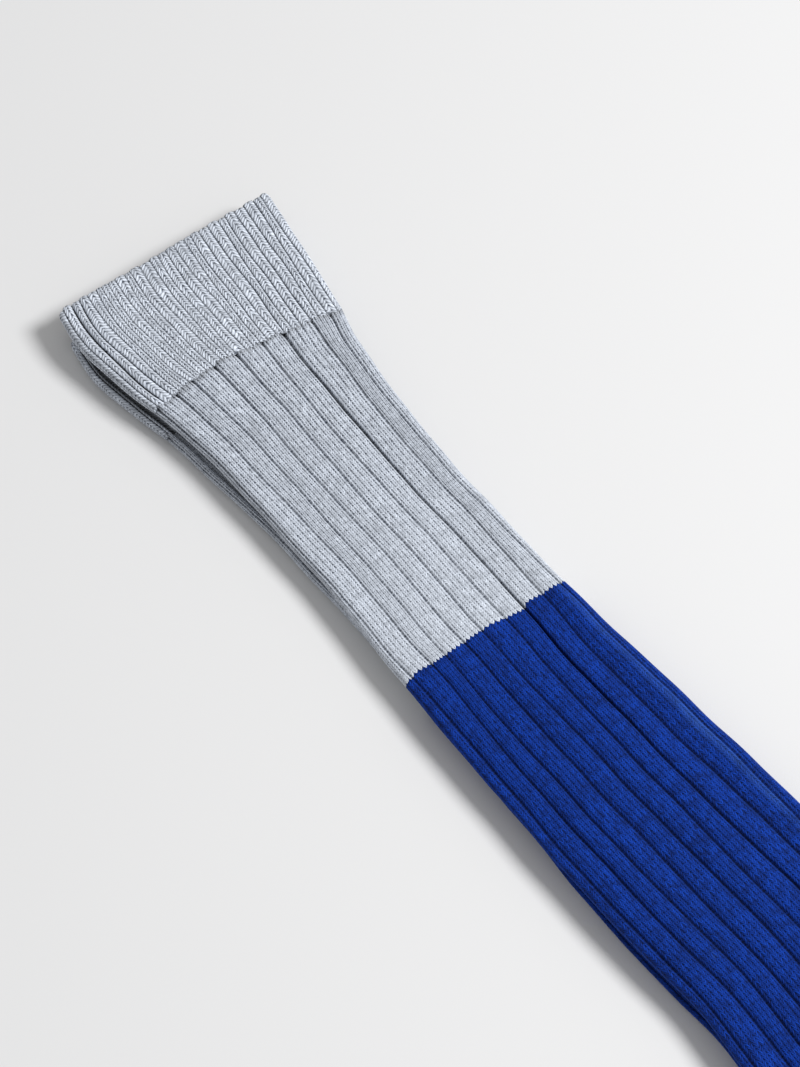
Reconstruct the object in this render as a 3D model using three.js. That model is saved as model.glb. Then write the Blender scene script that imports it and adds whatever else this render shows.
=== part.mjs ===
// A pair of ribbed knee socks laid flat, one on the other.
// Millimetres. X runs down the leg from the cuffs, Y across the leg to the instep side, Z up.
import * as THREE from "three";

// The knit.
const WALL = 2.2;
const CUFF_RIBS = 48;
const LEG_RIBS = 18;
const CUFF_FURROW = 1.1;
const LEG_FURROW = 0.9;
const DEEP_FURROW = { rib: 2, depth: 1.2 };
const SPACING_UNEVEN = 0.07;

// Lengths down the leg from the cuff's end.
const CUFF_END = 59;
const PALE_END = 214;
const ANKLE = 410;

// The ankle turns about a point beside the instep fold, then the foot runs straight to the toe.
const PIVOT_GAP = 8;
const TURN = THREE.MathUtils.degToRad(65);
const TURN_STEPS = 7;
const HEEL_BULGE = 9;
const FOOT_WIDTH = 78;
const FOOT_LENGTH = 140;
const TOE_LENGTH = 42;
const TOE_THINNING = 0.2;

// Gaps between pieces at a seam and between the two socks.
const SEAM = 0.3;
const REST = 0.3;

// The lower sock lies a little further down than the upper one and out to the left of it.
const LOWER_AHEAD = 10;

// Flat outline of a leg: its two folded edges, its laid thickness, and how far the middle of
// the upper sock stands off the lower one.
const LEG = [
  { along: 0, left: -52, right: 50.2, thick: 7.4, arch: 0 },
  { along: 20, left: -50.6, right: 47.8, thick: 7.4, arch: 0 },
  { along: 40, left: -46.2, right: 44.5, thick: 7.2, arch: 0 },
  { along: CUFF_END, left: -41.9, right: 41, thick: 7, arch: 0.1 },
  { along: 75, left: -39.2, right: 38.3, thick: 6.6, arch: 0.2 },
  { along: 95, left: -37.5, right: 36.1, thick: 6.4, arch: 0.3 },
  { along: 135, left: -37, right: 33.8, thick: 6.2, arch: 0.3 },
  { along: 175, left: -37.2, right: 34.5, thick: 6, arch: 0.4 },
  { along: PALE_END, left: -38, right: 36.2, thick: 6, arch: 0.6 },
  { along: 240, left: -37.8, right: 38.4, thick: 6.1, arch: 1 },
  { along: 270, left: -37.2, right: 41.4, thick: 6.2, arch: 1.2 },
  { along: 300, left: -36.2, right: 44.1, thick: 6.2, arch: 1.2 },
  { along: 335, left: -34.4, right: 47.5, thick: 6.2, arch: 1.1 },
  { along: 372, left: -31, right: 50, thick: 6.2, arch: 1 },
  { along: ANKLE, left: -32.6, right: 51.5, thick: 6.4, arch: 0.8 },
];

// Sideways slip of the lower sock under the upper one.
const SLIP = [
  { along: 0, aside: -1.9 },
  { along: 20, aside: -4.7 },
  { along: 50, aside: -5.5 },
  { along: 85, aside: -5.3 },
  { along: 115, aside: -2.6 },
  { along: 150, aside: -0.3 },
  { along: 195, aside: 1.9 },
  { along: 270, aside: 2.2 },
  { along: 320, aside: 0.6 },
  { along: ANKLE, aside: 0.6 },
];

// How much farther left the upper sock's fold lies than the lower one's form.
const OVERHANG = [
  { along: 0, out: 0.2 },
  { along: 10, out: 2.2 },
  { along: 20, out: 3.2 },
  { along: 45, out: 4.6 },
  { along: 65, out: 4.3 },
  { along: 90, out: 3.1 },
  { along: 115, out: 2.2 },
  { along: 140, out: 0.8 },
  { along: 165, out: 0 },
];

// Where the furrow numbered 0 runs over the top, in rib widths from the middle line.
const TWIST = [
  { along: 0, ribs: -0.45 },
  { along: 100, ribs: -0.34 },
  { along: PALE_END, ribs: -0.14 },
  { along: 250, ribs: -0.29 },
  { along: 300, ribs: -0.35 },
  { along: ANKLE, ribs: -0.36 },
];

// Ring places in each piece, down the leg. Half of a seam's gap is taken from each end.
const CUFF_RINGS = [0, 15, 30, 45, CUFF_END - SEAM / 2];
const PALE_RINGS = [CUFF_END + SEAM / 2, 75, 95, 125, 160, 190, PALE_END - SEAM / 2];
const BLUE_RINGS = [PALE_END + SEAM / 2, 240, 270, 300, 335, 372, ANKLE - SEAM / 2];

// Toe rings as shares of the toe's length, for the outside and for the hollow within it.
const TOE_RINGS = [
  { outside: 0.3, hollow: 0.28 },
  { outside: 0.55, hollow: 0.52 },
  { outside: 0.75, hollow: 0.7 },
  { outside: 0.88, hollow: 0.82 },
  { outside: 0.97, hollow: 0.9 },
];

// Rib outlines: share of a rib's width, and height as a share of its furrow's depth below the crest.
const CUFF_RIB = [
  { share: 0, sunk: 1 },
  { share: 0.28, sunk: 0 },
  { share: 0.72, sunk: 0 },
];
const LEG_RIB = [
  { share: 0, sunk: 1 },
  { share: 0.12, sunk: 0.25 },
  { share: 0.36, sunk: 0 },
  { share: 0.64, sunk: 0 },
  { share: 0.88, sunk: 0.25 },
];
const FOOT_SIDES = 36;

const PALE_COLOUR = 0xb1b9c4;
const BLUE_COLOUR = 0x13337f;

// A smooth curve through one column of a table, at a place down the leg.
function at(table, column, along) {
  const last = table.length - 1;
  if (along <= table[0].along) return table[0][column];
  if (along >= table[last].along) return table[last][column];
  const i = table.findIndex((row) => row.along > along) - 1;
  const slope = (k) => {
    const a = table[Math.max(k - 1, 0)];
    const b = table[Math.min(k + 1, last)];
    return (b[column] - a[column]) / (b.along - a.along);
  };
  const span = table[i + 1].along - table[i].along;
  const t = (along - table[i].along) / span;
  const start = table[i][column];
  const rise = table[i + 1][column] - start;
  const bend = span * (slope(i) * t * (1 - t) * (1 - t) - slope(i + 1) * t * t * (1 - t));
  return start + rise * t * t * (3 - 2 * t) + bend;
}

// A station is a ring's plane: its origin, the direction across the sock, and the flat outline there.
function legStation(along, lower) {
  return {
    x: along + (lower ? LOWER_AHEAD : 0),
    y: lower ? at(SLIP, "aside", along) : 0,
    angle: 0,
    left: at(LEG, "left", along) - (lower ? 0 : at(OVERHANG, "out", along)),
    right: at(LEG, "right", along),
    arch: lower ? 0 : at(LEG, "arch", along),
    twist: at(TWIST, "ribs", along),
  };
}

function footStation(turn, onward, narrowing, lower) {
  const ankle = legStation(ANKLE, lower);
  const swell = HEEL_BULGE * Math.sin((Math.PI * turn) / TURN);
  const legWidth = ankle.right - ankle.left;
  const width = THREE.MathUtils.lerp(legWidth, FOOT_WIDTH, turn / TURN) + swell;
  const trim = (width * (1 - narrowing)) / 2;
  const pivotY = ankle.y + ankle.right + PIVOT_GAP;
  return {
    x: ankle.x + onward * Math.cos(turn),
    y: pivotY + onward * Math.sin(turn),
    angle: turn,
    left: -PIVOT_GAP - width + trim,
    right: -PIVOT_GAP - trim,
    arch: ankle.arch * (1 - turn / TURN),
    twist: 0,
  };
}

function laidThickness(x) {
  return at(LEG, "thick", x);
}

// A point on the flattened tube: a share of the way round from the middle of the top, sunk below
// the outer surface along its normal.
function tubePoint(station, share, sunk, lower, thinning) {
  const across = (station.left + station.right) / 2;
  const full = laidThickness(station.x);
  const thick = full * (1 - thinning);
  const r = thick / 2;
  const flat = (station.right - station.left) / 2 - r;
  const round = 4 * flat + 2 * Math.PI * r;
  let p = (((share % 1) + 1) % 1) * round;
  let side = 0;
  let normal = 0;
  if (p <= flat) {
    side = p;
  } else if (p <= flat + Math.PI * r) {
    normal = (p - flat) / r;
    side = flat;
  } else if (p <= 3 * flat + Math.PI * r) {
    normal = Math.PI;
    side = 2 * flat + Math.PI * r - p;
  } else if (p <= 3 * flat + 2 * Math.PI * r) {
    normal = Math.PI + (p - 3 * flat - Math.PI * r) / r;
    side = -flat;
  } else {
    side = p - round;
  }
  const resting = lower ? THREE.MathUtils.clamp((1 + Math.cos(normal)) / 0.5, 0, 1) : 1;
  const reach = r - sunk(resting);
  const c = side + reach * Math.sin(normal);
  const z = r + reach * Math.cos(normal);
  const lift = station.arch * Math.max(0, 1 - (side / flat) ** 2);
  const base = (lower ? 0 : laidThickness(station.x) + REST) + (full - thick) / 2;
  const y = across + c;
  return new THREE.Vector3(
    station.x - y * Math.sin(station.angle),
    station.y + y * Math.cos(station.angle),
    base + lift + z
  );
}

// Uneven spacing of the furrows round the tube.
function uneven(rib) {
  return SPACING_UNEVEN * (Math.sin(2.4 * rib + 0.5) + Math.sin(1.1 * rib));
}

function outerRing(station, knit, lower, thinning = 0) {
  const points = [];
  for (let rib = 0; rib < knit.ribs; rib += 1) {
    for (const { share, sunk } of knit.outline) {
      const here = uneven(rib);
      const next = uneven((rib + 1) % knit.ribs);
      const place = rib + share + here * (1 - share) + next * share;
      const nearest = Math.round(rib + share) % knit.ribs;
      const depth = nearest === knit.deep.rib ? knit.deep.depth : knit.depth;
      const ribs = (place + station.twist) / knit.ribs;
      points.push(tubePoint(station, ribs, (resting) => sunk * depth * resting, lower, thinning));
    }
  }
  return points;
}

function innerRing(station, knit, lower, thinning = 0) {
  const sides = (knit.ribs * knit.outline.length) / knit.coarser;
  const points = [];
  for (let i = 0; i < sides; i += 1) {
    const share = (i / sides) + station.twist / knit.ribs;
    points.push(tubePoint(station, share, () => WALL, lower, thinning));
  }
  return points;
}

const CUFF_KNIT = {
  ribs: CUFF_RIBS,
  depth: CUFF_FURROW,
  deep: { rib: 0, depth: CUFF_FURROW },
  outline: CUFF_RIB,
  coarser: 3,
};
const LEG_KNIT = {
  ribs: LEG_RIBS,
  depth: LEG_FURROW,
  deep: DEEP_FURROW,
  outline: LEG_RIB,
  coarser: 2,
};
const PLAIN_KNIT = {
  ribs: FOOT_SIDES,
  depth: 0,
  deep: { rib: 0, depth: 0 },
  outline: [{ share: 0, sunk: 0 }],
  coarser: 1,
};

// A wall between two stacks of rings, closed by a rim at its open ends and by caps at a toe.
function wall(outer, inner, toeClosed) {
  const n = outer[0].length;
  const m = inner[0].length;
  const coarser = n / m;
  const points = [...outer.flat(), ...inner.flat()];
  const out = (ring, i) => ring * n + (i % n);
  const within = (ring, i) => outer.length * n + ring * m + (i % m);
  const faces = [];
  for (let ring = 0; ring + 1 < outer.length; ring += 1) {
    for (let i = 0; i < n; i += 1) {
      faces.push([out(ring, i), out(ring + 1, i), out(ring + 1, i + 1)]);
      faces.push([out(ring, i), out(ring + 1, i + 1), out(ring, i + 1)]);
    }
  }
  for (let ring = 0; ring + 1 < inner.length; ring += 1) {
    for (let i = 0; i < m; i += 1) {
      faces.push([within(ring, i), within(ring + 1, i + 1), within(ring + 1, i)]);
      faces.push([within(ring, i), within(ring, i + 1), within(ring + 1, i + 1)]);
    }
  }
  const rim = (ring, innerRingIndex, turned) => {
    const add = (a, b, c) => faces.push(turned ? [a, c, b] : [a, b, c]);
    for (let k = 0; k < m; k += 1) {
      for (let j = 0; j < coarser; j += 1) {
        const i = k * coarser + j;
        add(out(ring, i), out(ring, i + 1), within(innerRingIndex, k));
      }
      add(out(ring, (k + 1) * coarser), within(innerRingIndex, k + 1), within(innerRingIndex, k));
    }
  };
  rim(0, 0, false);
  if (toeClosed) {
    const middle = (ring) =>
      ring.reduce((sum, p) => sum.add(p), new THREE.Vector3()).divideScalar(ring.length);
    const outerTip = points.push(middle(outer[outer.length - 1])) - 1;
    const innerTip = points.push(middle(inner[inner.length - 1])) - 1;
    for (let i = 0; i < n; i += 1) {
      faces.push([out(outer.length - 1, i), outerTip, out(outer.length - 1, i + 1)]);
    }
    for (let i = 0; i < m; i += 1) {
      faces.push([within(inner.length - 1, i), within(inner.length - 1, i + 1), innerTip]);
    }
  } else {
    rim(outer.length - 1, inner.length - 1, true);
  }
  return { points, faces };
}

function meshOf(name, colour, { points, faces }) {
  const geometry = new THREE.BufferGeometry().setFromPoints(points);
  geometry.setIndex(faces.flat());
  const flat = geometry.toNonIndexed();
  flat.computeVertexNormals();
  const material = new THREE.MeshStandardMaterial({ color: colour, roughness: 0.95, metalness: 0 });
  const mesh = new THREE.Mesh(flat, material);
  mesh.name = name;
  return mesh;
}

function tubePiece(name, colour, places, knit, lower) {
  const stations = places.map((along) => legStation(along, lower));
  const outer = stations.map((station) => outerRing(station, knit, lower));
  const inner = stations.map((station) => innerRing(station, knit, lower));
  return meshOf(name, colour, wall(outer, inner, false));
}

function footPiece(name, colour, lower) {
  const outer = [];
  const inner = [];
  const ring = (turn, onward, narrowing, thinning, lists) => {
    const station = footStation(turn, onward, narrowing, lower);
    if (lists.outside) outer.push(outerRing(station, PLAIN_KNIT, lower, thinning));
    if (lists.hollow) inner.push(innerRing(station, PLAIN_KNIT, lower, thinning));
  };
  const both = { outside: true, hollow: true };
  for (let step = 0; step <= TURN_STEPS; step += 1) {
    ring((TURN * step) / TURN_STEPS, step === 0 ? SEAM / 2 : 0, 1, 0, both);
  }
  ring(TURN, FOOT_LENGTH / 2, 1, 0, both);
  ring(TURN, FOOT_LENGTH, 1, 0, both);
  const toe = (share, lists) => {
    const narrowing = Math.sqrt(1 - share * share);
    const thinning = TOE_THINNING * share * share;
    ring(TURN, FOOT_LENGTH + share * TOE_LENGTH, narrowing, thinning, lists);
  };
  for (const { outside, hollow } of TOE_RINGS) {
    toe(outside, { outside: true });
    toe(hollow, { hollow: true });
  }
  return meshOf(name, colour, wall(outer, inner, true));
}

function sock(name, lower) {
  const group = new THREE.Group();
  group.name = name;
  group.add(tubePiece(`${name}_cuff`, PALE_COLOUR, CUFF_RINGS, CUFF_KNIT, lower));
  group.add(tubePiece(`${name}_leg_pale`, PALE_COLOUR, PALE_RINGS, LEG_KNIT, lower));
  group.add(tubePiece(`${name}_leg_blue`, BLUE_COLOUR, BLUE_RINGS, LEG_KNIT, lower));
  group.add(footPiece(`${name}_foot`, BLUE_COLOUR, lower));
  return group;
}

const pair = new THREE.Group();
pair.name = "knee_socks_pair";
pair.add(sock("upper_sock", false), sock("lower_sock", true));

// The origin goes to the middle of the underside of the bounding box.
const box = new THREE.Box3().setFromObject(pair, true);
const middle = box.getCenter(new THREE.Vector3());
pair.position.set(-middle.x, -middle.y, -box.min.z);

export default pair;
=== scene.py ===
# %% [markdown]
# # A pair of ribbed knee socks, laid flat
# The real object is two knitted tubes. Each starts with a flared cuff in single rib, goes on in
# wide rib with a change of yarn a third of the way down, and ends in a plain heel, foot and toe.
# One sock lies on the other, so most of the work is in two things: the soft flattened tube with
# its ribs, which is real mesh, and the stitches, which are far too many to model one by one and
# so are drawn by the material from a UV map that counts stitches.

import math

import bpy
import numpy as np
from mathutils import Matrix, Vector


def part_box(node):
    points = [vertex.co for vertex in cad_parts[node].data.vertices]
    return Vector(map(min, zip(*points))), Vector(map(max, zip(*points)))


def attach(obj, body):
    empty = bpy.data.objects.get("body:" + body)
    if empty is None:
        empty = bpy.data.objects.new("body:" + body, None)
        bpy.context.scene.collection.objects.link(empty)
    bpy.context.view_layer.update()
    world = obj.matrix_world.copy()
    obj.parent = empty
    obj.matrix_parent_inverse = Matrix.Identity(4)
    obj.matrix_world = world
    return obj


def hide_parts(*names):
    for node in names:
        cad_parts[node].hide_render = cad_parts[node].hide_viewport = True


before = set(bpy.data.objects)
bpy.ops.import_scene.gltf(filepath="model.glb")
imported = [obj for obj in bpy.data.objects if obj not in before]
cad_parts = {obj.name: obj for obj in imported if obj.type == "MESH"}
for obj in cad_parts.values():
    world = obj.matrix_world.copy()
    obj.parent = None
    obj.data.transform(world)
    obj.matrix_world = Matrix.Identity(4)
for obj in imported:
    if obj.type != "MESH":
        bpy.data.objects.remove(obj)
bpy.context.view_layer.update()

# %% [markdown]
# ## Sizes
# A sock's shape is easiest to say along its length: how far its two folded edges are from the
# middle line, how thick it lies, and how far it stands off what is below. The values here are in
# millimetres, the same ones that the solid pieces were made from. LEG has one row for each place
# where the outline changes. SLIP says how far the lower sock lies to one side, OVERHANG how much
# farther left the upper sock's fold lies, and TWIST how far the ribs turn round the tube.

# %% Sizes of the knit and the outline
WALL = 2.2
CUFF_RIBS = 48
LEG_RIBS = 18
CUFF_END = 59.0
PALE_END = 214.0
ANKLE = 410.0
REST = 0.3
LOWER_AHEAD = 10.0

LEG = {
    "along": [0, 20, 40, CUFF_END, 75, 95, 135, 175, PALE_END, 240, 270, 300, 335, 372, ANKLE],
    "left": [
        -52, -50.6, -46.2, -41.9, -39.2, -37.5, -37, -37.2,
        -38, -37.8, -37.2, -36.2, -34.4, -31, -32.6,
    ],
    "right": [50.2, 47.8, 44.5, 41, 38.3, 36.1, 33.8, 34.5, 36.2, 38.4, 41.4, 44.1, 47.5, 50, 51.5],
    "thick": [7.4, 7.4, 7.2, 7, 6.6, 6.4, 6.2, 6, 6, 6.1, 6.2, 6.2, 6.2, 6.2, 6.4],
    "arch": [0, 0, 0, 0.1, 0.2, 0.3, 0.3, 0.4, 0.6, 1, 1.2, 1.2, 1.1, 1, 0.8],
}
SLIP = {
    "along": [0, 20, 50, 85, 115, 150, 195, 270, 320, ANKLE],
    "aside": [-1.9, -4.7, -5.5, -5.3, -2.6, -0.3, 1.9, 2.2, 0.6, 0.6],
}
OVERHANG = {
    "along": [0, 10, 20, 45, 65, 90, 115, 140, 165],
    "out": [0.2, 2.2, 3.2, 4.6, 4.3, 3.1, 2.2, 0.8, 0],
}
TWIST = {
    "along": [0, 100, PALE_END, 250, 300, ANKLE],
    "ribs": [-0.45, -0.34, -0.14, -0.29, -0.35, -0.36],
}
print("ribs on the pair:", 2 * (CUFF_RIBS + LEG_RIBS))

# %% [markdown]
# ## Smooth curves through a table
# A table of a dozen rows is easy to read and to correct, but straight lines between its rows
# would leave corners in the cloth. So a cubic runs through the rows, with the slope at each row
# taken from its two neighbours. A smooth step, from 0 to 1 with no corner, fades things in.


# %% Curves and steps
def curve(table, column, along):
    """A smooth curve through one column of a table."""
    x = np.array(table["along"], float)
    y = np.array(table[column], float)
    at = np.clip(np.asarray(along, float), x[0], x[-1])
    slope = np.empty_like(y)
    slope[1:-1] = (y[2:] - y[:-2]) / (x[2:] - x[:-2])
    slope[0] = (y[1] - y[0]) / (x[1] - x[0])
    slope[-1] = (y[-1] - y[-2]) / (x[-1] - x[-2])
    i = np.clip(np.searchsorted(x, at, side="right") - 1, 0, len(x) - 2)
    span = x[i + 1] - x[i]
    t = (at - x[i]) / span
    bend = span * (slope[i] * t * (1 - t) ** 2 - slope[i + 1] * t * t * (1 - t))
    return y[i] + (y[i + 1] - y[i]) * t * t * (3 - 2 * t) + bend


def smoothstep(low, high, value):
    t = np.clip((value - low) / (high - low), 0, 1)
    return t * t * (3 - 2 * t)


for spot in (0.0, CUFF_END, PALE_END, 335.0):
    width = curve(LEG, "right", spot) - curve(LEG, "left", spot)
    print(f"width {spot:5.0f} mm down the leg: {width:.1f} mm")

# %% [markdown]
# ## Where the origin is
# The solids were shifted so that the origin is under the middle of their box. The same shift is
# needed here, and it can be read from the box of one known piece: the upper cuff starts at the
# table's zero, and its right fold is the first row of the outline.

# %% The shift from table places to the frame
upper_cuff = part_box("upper_sock_cuff")
ORIGIN_X = upper_cuff[0][0] * 1000
ORIGIN_Y = upper_cuff[1][1] * 1000 - LEG["right"][0]
print("origin shift, mm:", round(ORIGIN_X, 2), round(ORIGIN_Y, 2))

# %% [markdown]
# ## Stations down the leg
# A station is one ring of the sock: where it lies, how far its folds are out, and how far its
# ribs are turned. The folds of the real sock aren't ruled lines, so each gets two small waves
# that fade out at the cuff's end and the ankle, where pieces meet.

# %% The leg's stations
FOLD_FADE = 30.0
LEFT_WAVES = ((0.14, 8.3, 0), (0.12, 4.9, 1))
RIGHT_WAVES = ((0.16, 7.1, 2), (0.12, 4.3, 0))


def laid_thickness(x):
    return curve(LEG, "thick", x)


def fold_waves(waves, along):
    """Unevenness of a folded edge, from rows of height, length and start."""
    soft = smoothstep(0, FOLD_FADE, along) * smoothstep(0, FOLD_FADE, ANKLE - along)
    return soft * sum(high * np.sin(along / long + start) for high, long, start in waves)


def leg_stations(along, lower):
    along = np.asarray(along, float)
    level = np.zeros_like(along)
    overhang = level if lower else curve(OVERHANG, "out", along)
    return {
        "along": along,
        "x": along + (LOWER_AHEAD if lower else 0.0),
        "y": curve(SLIP, "aside", along) if lower else level,
        "angle": level,
        "left": curve(LEG, "left", along) - overhang + fold_waves(LEFT_WAVES, along),
        "right": curve(LEG, "right", along) + fold_waves(RIGHT_WAVES, along),
        "arch": level if lower else curve(LEG, "arch", along),
        "twist": curve(TWIST, "ribs", along),
        "thinning": level,
    }


print("fold waves reach, mm:", [sum(row[0] for row in waves) for waves in (LEFT_WAVES, RIGHT_WAVES)])

# %% [markdown]
# ## The flattened tube
# Round a sock the wall goes over the top, round the right fold, back underneath and round the
# left fold. A place on it is a share of the way round, so ribs can be spaced evenly however wide
# the sock is there. The wall can be sunk below its outer surface, which makes furrows, and the
# same call with a full wall's depth makes the inside. Under the lower sock nothing is sunk,
# because its weight and the other sock's press the ribs flat on the table.

# %% A point on the tube
UNDERSIDE_FADE = 0.5


def section_sizes(left, right, thick):
    """Radius of the folds, half the flat stretch, and the way round one fold."""
    r = thick / 2
    return r, (right - left) / 2 - r, math.pi * r


def section_place(share, r, flat, bend):
    """Sideways place of a share of the way round, and its turn from facing up."""
    p = np.mod(share, 1.0) * (4 * flat + 2 * bend)
    stretches = [p <= flat, p <= flat + bend, p <= 3 * flat + bend, p <= 3 * flat + 2 * bend]
    places = [p, flat + 0 * p, 2 * flat + bend - p, -flat + 0 * p]
    turns = [0 * p, (p - flat) / r, math.pi + 0 * p, math.pi + (p - 3 * flat - bend) / r]
    side = np.select(stretches, places, p - 4 * flat - 2 * bend)
    return side, np.select(stretches, turns, 0.0)


def tube(stations, share, sunk, lower, ripple=None):
    """Points round the tube at every station, in metres in the frame. Rows are stations."""
    s = {key: np.asarray(value)[:, None] for key, value in stations.items()}
    share = np.broadcast_to(share, (len(stations["x"]), np.shape(share)[-1]))
    full = laid_thickness(s["x"])
    thick = full * (1 - s["thinning"])
    r, flat, bend = section_sizes(s["left"], s["right"], thick)
    side, normal = section_place(share, r, flat, bend)
    if lower:
        pressed = np.clip((1 + np.cos(normal)) / UNDERSIDE_FADE, 0, 1)
        sunk = np.where(sunk >= WALL, sunk, sunk * pressed)
    reach = r - sunk
    lift = s["arch"] * np.clip(1 - (side / flat) ** 2, 0, None)
    if ripple is not None:
        lift = lift + ripple(s["along"], side, normal)
    base = (0.0 if lower else full + REST) + (full - thick) / 2
    across = (s["left"] + s["right"]) / 2 + side + reach * np.sin(normal)
    x = s["x"] - across * np.sin(s["angle"]) + ORIGIN_X
    y = s["y"] + across * np.cos(s["angle"]) + ORIGIN_Y
    z = np.broadcast_to(base + lift + r + reach * np.cos(normal), x.shape)
    return np.stack([x, y, z], axis=-1) / 1000


sample = tube(leg_stations([PALE_END], False), np.array([0.0, 0.5]), np.zeros((1, 2)), False)
print("height of the upper sock at the colour change, m:", sample[0, :, 2].round(4))

# %% [markdown]
# ## Pressed beside the upper sock
# The upper sock's left fold presses into the lower sock, so a soft channel runs beside it and the
# shadow between the two is deep. It could be left to a cloth simulation, but one bell curve across
# the fold is exact and quick. It fades out below the cuff, where the two folds part.

# %% The channel in the lower sock
CHANNEL_DEPTH = 1.6
CHANNEL_OFF_FOLD = 0.2
CHANNEL_WIDTH = 1.5
CHANNEL_FADE = (130, 190)
MOST_SUNK = 1.9


def recess(stations, share, along):
    """How far the lower sock is pressed down just outside the upper sock's fold."""
    thick = laid_thickness(stations["x"])[:, None]
    r, flat, bend = section_sizes(stations["left"][:, None], stations["right"][:, None], thick)
    from_fold = np.mod(share, 1.0) * (4 * flat + 2 * bend) - (3 * flat + 2 * bend)
    beside = 1 - smoothstep(*CHANNEL_FADE, along[:, None])
    off = (from_fold - CHANNEL_OFF_FOLD) / CHANNEL_WIDTH
    return CHANNEL_DEPTH * beside * np.exp(-(off**2))


print("channel, mm:", CHANNEL_DEPTH, "deep, gone by", CHANNEL_FADE[1])

# %% [markdown]
# ## From rings to a closed wall
# Knit that is laid flat still has thickness, and its edge shows at the cuff. Each piece is a
# fine outer sheet and a coarser inner sheet, joined by a rim at each open end. Every face also
# gets UVs that count stitches: one unit across is one column of stitches, one unit down is one
# row, so the material never needs to know the shape.


# %% Faces of a sheet and of a rim
def sheet_faces(first, rows, columns, inward):
    """Faces with four corners, all round a sheet whose points start at first."""
    a = np.arange(rows - 1)[:, None] * columns + np.arange(columns)[None, :]
    b = np.arange(rows - 1)[:, None] * columns + (np.arange(columns)[None, :] + 1) % columns
    quads = np.stack([a, a + columns, b + columns, b], -1).reshape(-1, 4) + first
    return (quads[:, ::-1] if inward else quads).tolist()


def sheet_uvs(u, v, inward):
    """The corners of the same faces on the map of stitches."""
    corners = np.empty((v.shape[0] - 1, len(u) - 1, 4, 2))
    corners[:, :, 0, 0] = corners[:, :, 1, 0] = u[None, :-1]
    corners[:, :, 2, 0] = corners[:, :, 3, 0] = u[None, 1:]
    corners[:, :, 0, 1] = v[:-1, :-1]
    corners[:, :, 1, 1] = v[1:, :-1]
    corners[:, :, 2, 1] = v[1:, 1:]
    corners[:, :, 3, 1] = v[:-1, 1:]
    corners = corners.reshape(-1, 4, 2)
    return (corners[:, ::-1] if inward else corners).reshape(-1, 2).tolist()


def rim(outer_start, inner_start, n, m, u, down, turned):
    """Faces and UVs that join one end's fine ring of n points to its coarse ring of m."""
    step = n // m
    faces, uvs = [], []
    for k in range(m):
        fan = [outer_start + (k * step + j) % n for j in range(step + 1)]
        face = fan + [inner_start + (k + 1) % m, inner_start + k]
        uv = [[u[k * step + j], down] for j in range(step + 1)]
        uv += [[u[(k + 1) * step], down], [u[k * step], down]]
        faces.append(face[::-1] if turned else face)
        uvs.extend(uv[::-1] if turned else uv)
    return faces, uvs


print("faces at a rim of 8 fine and 4 coarse points:", len(rim(0, 8, 8, 4, range(9), 0, False)[0]))

# %% [markdown]
# ## The mesh of a wall
# The two sheets and the rims become one mesh. Along with the UVs, every point keeps how deep it
# is sunk below the crest of its rib. The material reads that as an attribute to darken the
# furrows, where little light comes in.


# %% Building a wall mesh
def wall_mesh(name, outer, inner, u, v, sunk, closed_toe=False):
    rows, n = outer.shape[:2]
    inner_rows, m = inner.shape[:2]
    step = n // m
    base = rows * n
    last, inner_last = (rows - 1) * n, base + (inner_rows - 1) * m
    points = np.concatenate([outer.reshape(-1, 3), inner.reshape(-1, 3)])
    inner_v = v[np.linspace(0, rows - 1, inner_rows).round().astype(int)][:, ::step]
    faces = sheet_faces(0, rows, n, False) + sheet_faces(base, inner_rows, m, True)
    uvs = sheet_uvs(u, v, False) + sheet_uvs(u[::step], inner_v, True)
    ends = [rim(0, base, n, m, u, v[0, 0], False)]
    if closed_toe:
        caps = [[last + i for i in range(n)][::-1], [inner_last + i for i in range(m)]]
        cap_uvs = [[u[i], v[-1, 0]] for i in range(n)][::-1]
        ends.append((caps, cap_uvs + [[u[i * step], v[-1, 0]] for i in range(m)]))
    else:
        ends.append(rim(last, inner_last, n, m, u, v[-1, 0], True))
    for end_faces, end_uvs in ends:
        faces += end_faces
        uvs += end_uvs
    mesh = bpy.data.meshes.new(name)
    mesh.from_pydata(points.tolist(), [], faces)
    mesh.uv_layers.new(name="stitches").data.foreach_set("uv", np.array(uvs, float).ravel())
    mesh.polygons.foreach_set("use_smooth", [True] * len(mesh.polygons))
    depth = mesh.attributes.new("sunk", "FLOAT", "POINT")
    depth.data.foreach_set("value", np.concatenate([sunk.ravel(), np.zeros(inner_rows * m)]))
    mesh.validate()
    piece = bpy.data.objects.new(name, mesh)
    bpy.context.collection.objects.link(piece)
    print(f"{name}: {len(points)} points, {sum(len(f) - 2 for f in faces)} triangles")
    return piece


# %% [markdown]
# ## Wide rib
# The leg is knitted four stitches plain, one purl. The purl column sinks out of sight between
# its neighbours and leaves a dark furrow, and the four plain columns make a broad, nearly flat
# rib with a faint groove down the middle of each column. The columns of points follow that: a
# few in the furrow, and four for each stitch column, so that grooves fall on real edges. One
# furrow is pulled deeper than the rest, so it has a table of its own.

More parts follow.
